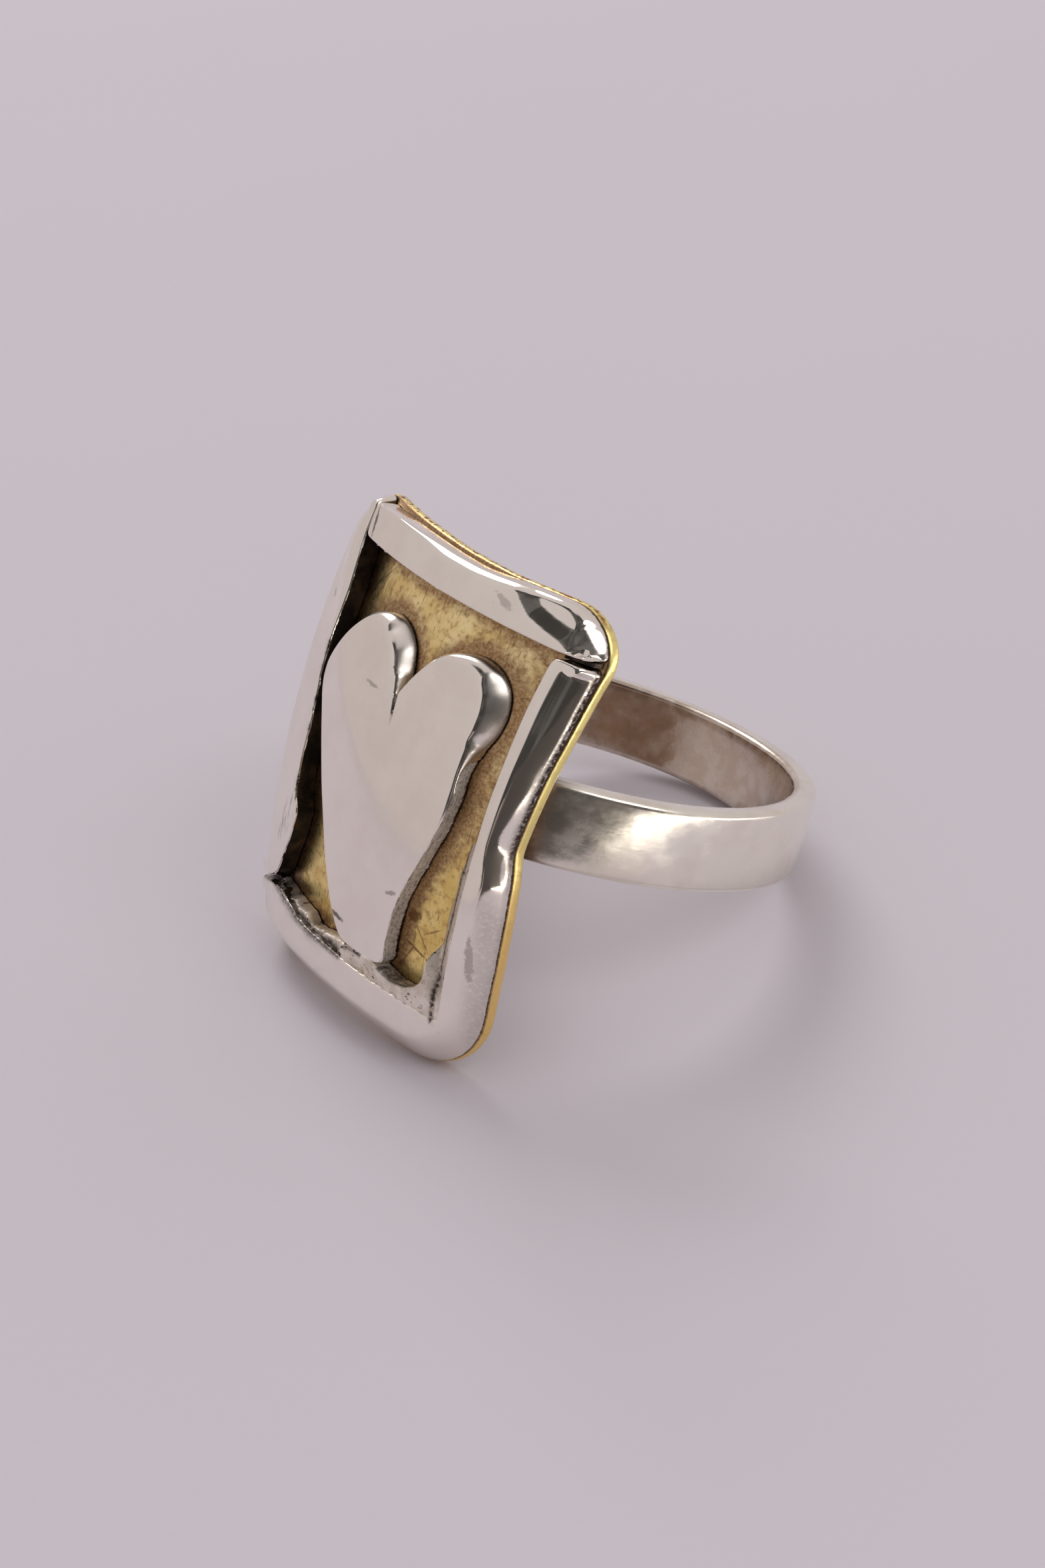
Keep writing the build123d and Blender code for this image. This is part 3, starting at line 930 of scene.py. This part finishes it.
# Solder that ran along the melted side of the bottom strip
CRUMB = completed((
    (-5.30, -6.52), (-4.40, -6.62), (-3.40, -6.86), (-2.20, -7.02), (-0.70, -7.06), (0.70, -7.05),
    (0.62, -6.52, 0.08, 0.10), (-0.03, -6.42, 0.14, 0.18), (-0.94, -6.58, 0.16, 0.20),
    (-1.93, -6.76, 0.14, 0.20), (-2.72, -6.42, 0.16, 0.25), (-4.14, -6.35, 0.16, 0.25),
    (-5.20, -6.22, 0.12, 0.20),
), 0.05, 0.05)

# The height of the solder's slope against the right strip, at places along it, and how it rises across
MELT_SLOPE = ((-6.6, 0.78), (-5.4, 0.72), (-3.4, 0.68), (-0.4, 0.60))
MELT_RISE, MELT_RISE_FROM = 0.75, 5.6
MELT_TOP = 0.80
CRUMB_TOP = 0.60

# Dark joints between the strips' ends
Seam = namedtuple("Seam", "x0 y0 x1 y1 width top")
SEAMS = (
    Seam(-5.66, 9.00, -5.53, 7.72, 0.12, 0.62),
    Seam(6.20, 7.26, 7.30, 7.32, 0.16, 0.40),
    Seam(-6.72, -6.56, -5.10, -6.46, 0.24, 0.30),
)


def melt_level(x, y):
    strip_side = step(x + 0.35 * y, 3.5, 3.0)
    broad = MELT_TOP - 0.14 * np.exp(-((x - 1.72) ** 2 / 0.3 + (y + 6.9) ** 2 / 0.08))
    slope = from_table(y, MELT_SLOPE) + MELT_RISE * (x - MELT_RISE_FROM)
    slope = np.minimum(slope, MELT_TOP)
    return broad * strip_side + slope * (1 - strip_side) + 0.035 * rough(x, y, 0.8, seed=41)


def crumb_level(x, y):
    return CRUMB_TOP + 0.08 * rough(x, y, 0.30, seed=53) - 0.25 * step(y, -6.6, -6.3)


def make_melt(made):
    for outline, level, wander in ((MELT, melt_level, 0.05), (CRUMB, crumb_level, 0.07)):
        path = resample(spline_path(outline), spacing=0.07)
        path[:, 2:] = np.maximum(LEAST_EDGE, path[:, 2:])
        x, y = path[:, 0], path[:, 1]
        path[:, :2] += inward(path[:, :2]) * (wander * rough(x, y, 0.5, seed=61, octaves=2))[:, None]
        slab(made, path, level, always(MELTED), MELTED, spacing=0.10)


def make_seams(made):
    for seam in SEAMS:
        first, last = np.array((seam.x0, seam.y0)), np.array((seam.x1, seam.y1))
        side = unit(last - first)[::-1] * (1, -1) * seam.width / 2
        corners = np.array((first - side, first + side, last + side, last - side))
        path = resample(np.column_stack((corners, np.full((4, 2), LEAST_EDGE))), spacing=0.06)

        def level(x, y):
            return seam.top + 0.03 * rough(x, y, 0.4, seed=77, octaves=2)

        slab(made, path, level, always(OXIDE_AND_SHADE), OXIDE_AND_SHADE, spacing=0.12)


# The heart

# Its outline, anticlockwise from the foot of its cleft, in the same kind of rows
HEART = completed((
    (0.20, 3.42, 0.05, 0.10), (0.10, 3.80, 0.18, 0.40), (-0.04, 4.35, 0.36, 0.62),
    (-0.38, 5.10, 0.48, 0.66), (-1.05, 5.62, 0.54, 0.64), (-1.95, 5.82, 0.46, 0.42),
    (-2.95, 5.50, 0.30, 0.30), (-3.72, 4.78, 0.14, 0.16), (-4.32, 3.90, 0.06, 0.07), (-4.70, 2.95),
    (-4.58, 2.10), (-3.93, 1.02), (-2.98, -0.64), (-2.05, -2.32), (-1.30, -3.86), (-0.62, -5.12),
    (0.02, -5.98), (0.50, -6.24), (1.50, -6.28), (2.35, -6.24), (2.72, -5.95), (2.76, -5.05),
    (2.88, -4.05), (3.14, -3.00), (3.54, -1.90), (3.93, -0.70), (4.18, 0.40, 0.10, 0.06),
    (4.24, 1.20, 0.38, 0.14), (4.26, 2.05, 0.14, 0.12), (4.46, 2.95, 0.36, 0.55), (4.74, 3.65, 0.54, 0.66),
    (4.84, 4.45, 0.64, 0.68), (4.62, 5.20, 0.62, 0.66), (4.05, 5.74, 0.52, 0.55), (3.25, 5.98, 0.44, 0.40),
    (2.40, 5.88, 0.34, 0.34), (1.62, 5.50, 0.24, 0.25), (1.05, 4.85, 0.14, 0.15), (0.62, 4.15, 0.10, 0.10),
    (0.34, 3.62, 0.05, 0.08),
), 0.05, 0.05)

# The saw cut below the cleft, the box of finer grid round it, and its depth along the heart
KERF = ((0.22, 3.5), (0.30, 3.0), (0.42, 2.3))
KERF_BOX = (-0.05, 2.2, 0.75, 3.5, 0.045)
KERF_DEPTH = ((2.3, 0.0), (3.0, 0.10), (3.5, 0.34))
KERF_HALF = 0.055

# The right flank is rough from the saw, a little further up in its shape than in its metal
SAWN_SIDE, SAWN_LOW = 2.2, -6.2
SAWN_METAL_TOP, SAWN_SHAPE_TOP = 2.4, 2.6


def heart_level(x, y):
    groove = from_table(y, KERF_DEPTH) * np.exp(-((segment_distance(x, y, KERF) / KERF_HALF) ** 2))
    return HEART_TOP + 0.008 * rough(x, y, 3.0, seed=31, octaves=2) - groove


def heart_walls(x, y, share):
    return np.where((x > SAWN_SIDE) & (y < SAWN_METAL_TOP) & (y > SAWN_LOW), SAWN, SILVER)


def heart_push(x, y, share):
    sawn = (x > SAWN_SIDE) & (y < SAWN_SHAPE_TOP) & (y > SAWN_LOW)
    lumps = 0.03 * rough(x * 2, y * 2 + 4 * share, 1.0, seed=23)
    return np.where(sawn, lumps + 0.09 * (1 - share), 0)


def heart_grime(x, y, h):
    """Dirt in the saw cut and under the lobes."""
    tail = beside(x, y, KERF, 0.03, 0.09) * step(y, 2.2, 3.1)
    lobes = step(y, 3.6, 4.6) * (1 - step(h, 0.10, 0.24))
    return np.maximum(tail, 0.8 * lobes)


def make_heart(materials):
    made = Builder()
    path = resample(spline_path(HEART), spacing=0.085)
    path[:, 2:] = np.maximum(LEAST_EDGE, soften(path[:, 2:], width=3))
    slab(made, path, heart_level, heart_walls, SILVER, spacing=0.22, wall_push=heart_push, fine=(KERF_BOX,))
    return made.object("heart_plate", materials, "grime_and_shade", heart_grime)


# The brass plate

BRASS_ROUND = (0.10, 0.13)
BRASS_UNDERCUT = 0.16

# Tarnish reaches further from the silver at the upper right, by this share
RIM_SHARE = 0.42


def brass_level(x, y):
    return 0.018 * rough(x, y, 1.6, seed=71)


def brass_push(x, y, share):
    return np.full_like(x, BRASS_UNDERCUT * (1 - share) ** 3)


def brass_rim(x, y, h):
    """Distance to the nearest piece of silver that stands on the brass."""
    spots = np.column_stack((x, y))
    nearest = distance_to(spots, resample(spline_path(HEART), spacing=0.1)[:, :2])
    for strip in STRIPS:
        nearest = np.minimum(nearest, distance_to(spots, strip_path(strip)[:, :2]))
    return nearest * (1 - RIM_SHARE * step(x, 2.6, 4.6) * step(y, -2.5, 0.5))


def make_plate(materials):
    made = Builder()
    outline = resample(plate_outline(), spacing=0.09)
    path = np.array([(*spot, *BRASS_ROUND) for spot in outline])
    slab(
        made, path, brass_level, always(BRASS), BRASS, spacing=0.2, foot=-PLATE_THICKNESS,
        wall_push=brass_push, base_spacing=0.35,
    )
    return made.object("brass_plate", materials, "rim", brass_rim)


# The band

BORE_RADIUS = 8.65
BAND_THICKNESS = 1.0
BAND_WIDTH = 3.2
BAND_ROUNDING = 0.24
BAND_CROWN = 0.05
BAND_STEPS = 300

# The solder behind the plate: half its width, its fade, how far round it may reach, and how deep it goes in
PAD_HALF = 2.4
PAD_FADE = 0.6
PAD_TURN = radians(30)
PAD_OVERLAP = 0.03

# How far the hand-made band strays: its width, as a share, its line, and its faces in broad and fine waves
WIDTH_STRAY, LINE_STRAY = 0.015, 0.03
BROAD_STRAY, FINE_STRAY = 0.02, 0.012
INNER_STRAY_SHARE = 0.4
JOINED_TURN = 0.5

# The grime and painted shade near the plate fade out between these distances across
GRIME_AND_SHADE_FROM, GRIME_AND_SHADE_TO = 6.2, 7.4


def pad_reach(theta, z):
    """How far out the band reaches where solder joins it to the plate's back."""
    plain = BORE_RADIUS + BAND_THICKNESS
    near = np.clip(theta, -PAD_TURN, PAD_TURN)
    reach = plain
    for _ in range(4):
        across = reach * np.sin(near)
        x, y = across - PLATE_SHIFT_ACROSS, z - PLATE_SHIFT_ALONG
        reach = (PLATE_REACH + plate_depth(x, y, -PLATE_THICKNESS)) / np.cos(near) + PAD_OVERLAP
    joined = (1 - step(np.abs(across), PAD_HALF, PAD_HALF + PAD_FADE)) * (np.abs(theta) < PAD_TURN)
    return plain + (reach - plain) * joined


def band_profile():
    """Rows of a depth from the face, a height, and 1 for the outer face or 0 for the inner."""
    half, r = BAND_WIDTH / 2, BAND_ROUNDING
    flat = np.linspace(-1, 1, 9)[1:-1] * (half - r)
    rows = []
    for outer, up in ((1, 1), (0, -1)):
        rise = up * flat
        crown = BAND_CROWN * (np.abs(rise) / half) ** 2 * outer
        corner_crown = BAND_CROWN * outer * (1 - r / half) ** 2
        start = []
        for a in np.linspace(0, pi / 2, 6):
            start.append((r * (1 - sin(a)) + corner_crown, -up * (half - r + r * cos(a)), outer))
        end = [(depth, -z, outer) for depth, z, _ in reversed(start)]
        rows += start + [(depth, z, outer) for depth, z in zip(crown, rise)] + end
    return np.array(rows)


def make_shank(material):
    profile = band_profile()
    theta = np.linspace(-pi, pi, BAND_STEPS, endpoint=False)[:, None]
    depth, z, outer = profile.T
    z = z[None, :] * (1 + WIDTH_STRAY * np.sin(3 * theta + 1)) + LINE_STRAY * np.sin(2 * theta + 0.5)
    wander = BROAD_STRAY * np.sin(5 * theta + 2) + FINE_STRAY * np.sin(11 * theta)
    inside_face = BORE_RADIUS + depth + INNER_STRAY_SHARE * np.abs(wander)
    outside_face = pad_reach(theta, z) - depth + wander * (np.abs(theta) > JOINED_TURN)
    r = np.where(outer > 0.5, outside_face, inside_face)
    points = np.stack((r * np.cos(theta), r * np.sin(theta), z), -1).reshape(-1, 3)
    count = len(profile)
    faces = []
    for i in range(BAND_STEPS):
        a, b = i * count, (i + 1) % BAND_STEPS * count
        for k in range(count):
            m = (k + 1) % count
            faces.append((a + k, b + k, b + m, a + m))
    mesh = bpy.data.meshes.new("band")
    mesh.from_pydata([Vector(v) for v in from_ring(points)], [], faces)
    share_out = (r - BORE_RADIUS) / BAND_THICKNESS
    round_it = theta * BORE_RADIUS + 0 * r
    add_attribute(mesh, "band", np.stack((round_it, z, share_out), -1))
    # Grime and painted shade where the band runs behind the plate, stronger on its outer face
    near_plate = (1 - step(np.abs(r * np.sin(theta)), GRIME_AND_SHADE_FROM, GRIME_AND_SHADE_TO)) * (np.cos(theta) > 0)
    add_attribute(mesh, "grime_and_shade", (near_plate * (0.35 + 0.65 * outer)).ravel())
    return finished("ring_band", mesh, (material,), 50)


# Floor, camera and light

FLOOR_HALF = 1.5

CAMERA_PLACE = Vector((67.599, -47.477, 55.838)) * MM
CAMERA_RIGHT = Vector((0.60703, 0.79072, -0.07922))
CAMERA_DOWN = Vector((0.37488, -0.37285, -0.84879))
CAMERA_FORWARD = Vector((-0.70069, 0.48554, -0.52276))
CAMERA_NEAR, CAMERA_FAR = 0.002, 10
FOCAL_PIXELS = 3686.7
SENSOR = 36

# The room's colours, low and high, and those of the dark area that only the metal sees
ROOM = (0.56, 0.505, 0.50, 1), (0.61, 0.57, 0.57, 1)
FLAG = (0.045, 0.042, 0.040, 1), (0.135, 0.130, 0.128, 1)

# Where the dark area is, in degrees: a tall flag, and a hood high up that reaches further round
FLAG_FROM, FLAG_TO = 12, 100
FLAG_TOP = 58
HOOD_FROM = -45
HOOD_FOOT, HOOD_TOP = 53, 78
FLAG_SOFT = 4

# The dark screen on the table: its ends in degrees, its distance and height, and where along X it pales
SCREEN_FROM, SCREEN_TO = 34, 76
SCREEN_STEPS = 32
SCREEN_FAR, SCREEN_HIGH = 0.058, 0.016
SCREEN_BLACK = (0.045, 0.041, 0.040, 1), (0.075, 0.068, 0.062, 1)
SCREEN_PALE = (0.55, 0.50, 0.47, 1)
SCREEN_PALE_TO, SCREEN_DARK_FROM = 0.033, 0.040


def direction(azimuth, elevation):
    """Azimuth 0 is towards the viewer of the heart, -Y, and 90 is +X."""
    a, e = radians(azimuth), radians(elevation)
    return Vector((sin(a) * cos(e), -cos(a) * cos(e), sin(e)))


Light = namedtuple("Light", "name place towards size power colour")
LIGHTS = (
    Light("key", 1.2 * direction(-110, 42), (0, 0, 0), (0.62, 0.62), 4.5, (1.0, 0.98, 0.96)),
    Light("fill", 1.2 * direction(106, 46), (0, 0, 0), (0.70, 0.70), 2.1, (1.0, 0.98, 0.97)),
    Light("low_card", (0.062, 0.042, 0.001), (0.062, 0.042, 1), (0.056, 0.15), 0.062, (1.0, 0.95, 0.85)),
)


def make_floor(material):
    corners = [(x * FLOOR_HALF, y * FLOOR_HALF, 0) for x, y in ((-1, -1), (1, -1), (1, 1), (-1, 1))]
    mesh = bpy.data.meshes.new("floor")
    mesh.from_pydata(corners, [], [(0, 1, 2, 3)])
    mesh.materials.append(material)
    floor = add_object("floor", mesh)


def make_camera():
    data = bpy.data.cameras.new("camera")
    data.sensor_width = SENSOR
    data.lens = FOCAL_PIXELS / max(IMAGE_WIDTH, IMAGE_HEIGHT) * SENSOR
    data.clip_start = CAMERA_NEAR
    data.clip_end = CAMERA_FAR
    camera = add_object("camera", data)
    turn = Matrix((CAMERA_RIGHT, -CAMERA_DOWN, -CAMERA_FORWARD)).transposed().to_4x4()
    camera.matrix_world = Matrix.Translation(CAMERA_PLACE) @ turn
    bpy.context.scene.camera = camera


def make_lights():
    """Soft area lights that the camera doesn't see."""
    for row in LIGHTS:
        data = bpy.data.lights.new(row.name, "AREA")
        data.shape = "ELLIPSE"
        data.size, data.size_y = row.size
        data.energy = row.power
        data.color = row.colour
        light = add_object(row.name, data)
        light.location = row.place
        light.rotation_mode = "QUATERNION"
        light.rotation_quaternion = (Vector(row.towards) - Vector(row.place)).to_track_quat("-Z", "Y")
        light.visible_camera = False


def height_of(elevation):
    return sin(radians(elevation))


def past(n, value, edge, measure, soft=FLAG_SOFT):
    """Rises from 0 to 1 about an edge in degrees, or falls where soft is negative."""
    return n.ramp(value, measure(edge - soft), measure(edge + soft))


def make_world():
    """A pale room; one dark area of it at the right is seen only in the metal."""
    world = bpy.data.worlds.new("studio")
    world.use_nodes = True
    bpy.context.scene.world = world
    n = Nodes(world.node_tree)
    look = n.new("TexCoord")["Generated"]
    x, y, z = n.split(look)
    room = n.mix(n.ramp(z, -0.1, 0.9), *ROOM)
    azimuth = n.math("ARCTAN2", x, n.times(y, -1.0))
    right_end = past(n, azimuth, FLAG_TO, radians, -FLAG_SOFT)
    flag_across = n.times(past(n, azimuth, FLAG_FROM, radians), right_end)
    flag_up = past(n, z, FLAG_TOP, height_of, -FLAG_SOFT)
    hood_across = n.times(past(n, azimuth, HOOD_FROM, radians), right_end)
    hood_up = n.times(past(n, z, HOOD_TOP, height_of, -FLAG_SOFT), past(n, z, HOOD_FOOT, height_of))
    dark = n.largest(n.times(flag_across, flag_up), n.times(hood_across, hood_up))
    folds = n.mix(n.ramp(n.noise(look, 5, 3, 0.5), 0.44, 0.66), *FLAG)
    seen = n.new("LightPath")["Is Glossy Ray"]
    background = world.node_tree.nodes["Background"]
    n.put(background.inputs["Color"], n.mix(n.times(dark, seen), room, folds))
    background.inputs["Strength"].default_value = 1.0


def make_screen():
    """The dark screen stands on the table and is seen only in the metal."""
    angles = np.linspace(SCREEN_FROM, SCREEN_TO, SCREEN_STEPS + 1)
    points = [direction(a, 0) * SCREEN_FAR + Vector((0, 0, z)) for z in (0.0, SCREEN_HIGH) for a in angles]
    count = len(angles)
    faces = [(i, i + 1, count + i + 1, count + i) for i in range(SCREEN_STEPS)]
    mesh = bpy.data.meshes.new("dark_screen")
    mesh.from_pydata(points, [], faces)
    n = Shader("black_card")
    place = n.new("TexCoord")["Object"]
    black = n.mix(n.noise(place, 60, 3), *SCREEN_BLACK)
    turn = n.ramp(n.split(place)["X"], SCREEN_PALE_TO, SCREEN_DARK_FROM)
    mesh.materials.append(n.finish(n.mix(turn, SCREEN_PALE, black), 0.0, 0.9))
    screen = add_object("dark_screen", mesh)
    screen.visible_camera = False
    screen.visible_diffuse = False
    screen.visible_shadow = False


silver = polished_silver("polished_silver", 0.0)
filed = polished_silver("filed_silver", HEART_TOP - 0.03)
sawn = sawn_silver("sawn_silver")
oxide_and_shade = dark_oxide_and_shade("dark_oxide_and_shade")
melted = melted_silver("melted_silver")
yellow = brass("worn_brass")
satin = satin_silver("satin_silver")

make_camera()
make_world()
make_lights()
make_floor(paper("paper"))
make_screen()

border = make_border((silver, sawn, oxide_and_shade, melted))
heart = make_heart((filed, sawn))
plate = make_plate((yellow,))
band = make_shank(satin)
for piece, node, slot in (
    (border, "border", "border_silver"),
    (heart, "heart", "heart_silver"),
    (plate, "back_plate", "plate_brass"),
    (band, "shank", "shank_silver"),
):
    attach(piece, "root")
    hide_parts(node)

bpy.context.scene.view_settings.view_transform = "Standard"
